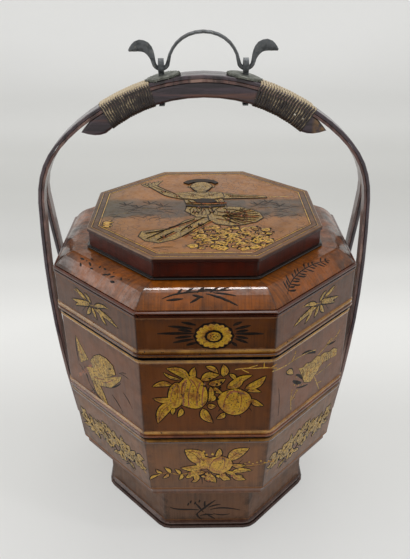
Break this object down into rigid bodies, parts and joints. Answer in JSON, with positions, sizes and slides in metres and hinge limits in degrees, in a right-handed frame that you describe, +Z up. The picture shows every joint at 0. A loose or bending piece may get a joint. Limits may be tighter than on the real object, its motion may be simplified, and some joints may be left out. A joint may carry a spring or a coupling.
{
  "type": "lacquered wedding basket",
  "caption": "Octagonal stacked carrying basket of lacquered wood with a shouldered tray, a raised lid, a bent bow handle with a bound grip, and an iron bail.",
  "frame": {"origin": "on the floor, under the middle of the octagonal foot", "axes": "+Z up through the lid and the crown of the bow; +X along the bow's span, to the right seen from the front; the painted front faces -Y"},
  "size_m": [0.3442, 0.3088, 0.5349],
  "materials": {
    "wall_lacquer": "satin brown lacquer, painted in gilt",
    "band_lacquer": "satin dark brown lacquer, painted in gilt",
    "shoulder_lacquer": "gloss orange brown lacquer",
    "top_lacquer": "worn light brown lacquer with a gilt border",
    "gilt_rim": "worn gilt over brown lacquer",
    "dark_lacquer": "satin dark lacquer",
    "foot_lacquer": "satin brown lacquer",
    "foot_moulding_lacquer": "satin dark lacquer",
    "inside_lacquer": "satin dark lacquer",
    "bow_lacquer": "satin purple brown lacquer",
    "grip_lacquer": "satin dark lacquer",
    "rattan": "dry split rattan",
    "iron_plate": "worn iron sheet",
    "iron": "dark forged iron",
    "peg_wood": "matt wood"
  },
  "bodies": {
    "basket": {"foot_moulding": "foot_moulding_lacquer", "foot_wall": "foot_lacquer", "bottom_base_moulding": "wall_lacquer", "bottom_floor": "inside_lacquer", "bottom_wall": "wall_lacquer", "bottom_rim": "gilt_rim", "bottom_lip": "inside_lacquer", "bow_inner_layer": "bow_lacquer", "bow_outer_layer": "bow_lacquer", "grip_block": "grip_lacquer", "left_binding": "rattan", "right_binding": "rattan", "left_plate": "iron_plate", "right_plate": "iron_plate", "left_eye": "iron", "right_eye": "iron", "left_front_peg_1": "peg_wood", "left_front_peg_2": "peg_wood", "left_back_peg_1": "peg_wood", "left_back_peg_2": "peg_wood", "right_front_peg_1": "peg_wood", "right_front_peg_2": "peg_wood", "right_back_peg_1": "peg_wood", "right_back_peg_2": "peg_wood"},
    "middle_tier": {"middle_lower_rim": "gilt_rim", "middle_wall": "wall_lacquer", "middle_floor": "inside_lacquer", "middle_rim": "gilt_rim", "middle_lip": "inside_lacquer"},
    "tray": {"tray_lower_rim": "gilt_rim", "tray_band": "band_lacquer", "tray_floor": "inside_lacquer", "tray_moulding": "dark_lacquer", "tray_shoulder": "shoulder_lacquer", "tray_neck": "inside_lacquer"},
    "lid": {"lid_rim": "dark_lacquer", "lid_collar": "wall_lacquer", "lid_plate": "top_lacquer"},
    "bail": {"bail": "iron"}
  },
  "joints": [
    {"name": "middle_tier_lift", "type": "slide", "parent": "basket", "child": "middle_tier", "axis": [0, 0, 1], "range_m": [0, 0.02]},
    {"name": "tray_lift", "type": "slide", "parent": "middle_tier", "child": "tray", "axis": [0, 0, 1], "range_m": [0, 0.024]},
    {"name": "lid_lift", "type": "slide", "parent": "tray", "child": "lid", "axis": [0, 0, 1], "range_m": [0, 0.028]},
    {"name": "bail_swing", "type": "hinge", "parent": "basket", "child": "bail", "pos_m": [0, 0, 0.5004], "axis": [1, 0, 0], "range_deg": [-95, 95]}
  ]
}
